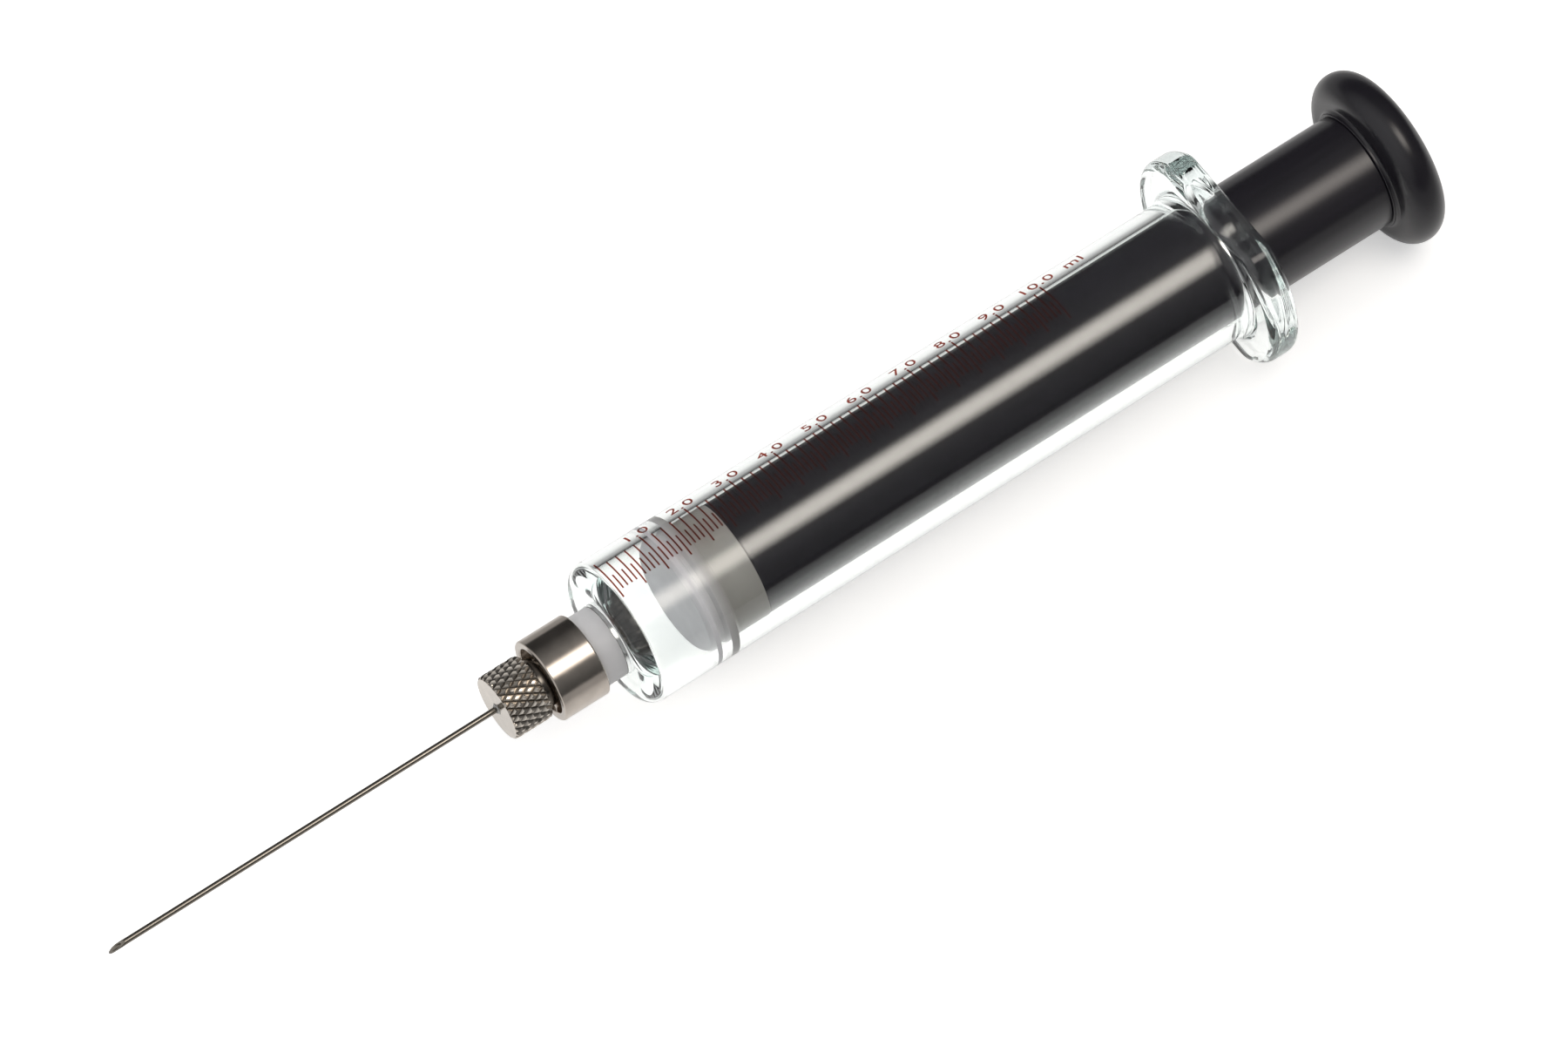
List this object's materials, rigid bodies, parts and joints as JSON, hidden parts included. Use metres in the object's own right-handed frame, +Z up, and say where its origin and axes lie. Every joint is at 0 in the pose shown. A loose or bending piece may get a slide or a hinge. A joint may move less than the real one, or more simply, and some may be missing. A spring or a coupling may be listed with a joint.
{
  "type": "microsyringe",
  "caption": "Gas-tight glass syringe with a printed scale, pressed finger flange, luer-lock front, metal-hub needle and black plunger with a sealing tip and thumb button.",
  "frame": {"origin": "on the barrel's axis, in the front face of the finger flange", "axes": "+X along the axis from the needle towards the thumb button, +Z up, square to the flange's flats, with the scale on the top of the barrel"},
  "size_m": [0.1731, 0.0262, 0.0218],
  "materials": {
    "glass": "clear borosilicate glass, fire polished",
    "scale_enamel": "fired red-brown enamel",
    "ptfe": "turned PTFE, translucent white",
    "cement": "dark cured cement",
    "nickel_plate": "bright nickel plate on turned brass",
    "solder": "bright silver solder",
    "stainless": "drawn stainless tube",
    "black_anodised": "satin black anodised aluminium",
    "black_plastic": "moulded black plastic, semi-gloss"
  },
  "bodies": {
    "syringe_body": {"barrel": "glass", "scale_lines": "scale_enamel", "luer_insert": "ptfe", "bonding_ring": "cement", "lock_collar": "nickel_plate"},
    "plunger": {"plunger_tip": "ptfe", "plunger_rod": "black_anodised", "thumb_button": "black_plastic"},
    "needle_carrier": {"solder_ring": "solder"},
    "needle": {"needle_hub": "nickel_plate", "needle_cannula": "stainless"}
  },
  "joints": [
    {"name": "plunger_slide", "type": "slide", "parent": "syringe_body", "child": "plunger", "axis": [1, 0, 0], "range_m": [-0.0066, 0.0534]},
    {"name": "needle_travel", "type": "slide", "parent": "syringe_body", "child": "needle_carrier", "axis": [-1, 0, 0], "range_m": [0, 0.0025]},
    {"name": "needle_turn", "type": "hinge", "parent": "needle_carrier", "child": "needle", "pos_m": [-0.09575, 0, 0], "axis": [-1, 0, 0], "range_deg": [0, 181]}
  ],
  "couplings": [
    {"joint": "needle_turn", "follows": "needle_travel", "rad_per_m": 1256.6}
  ]
}
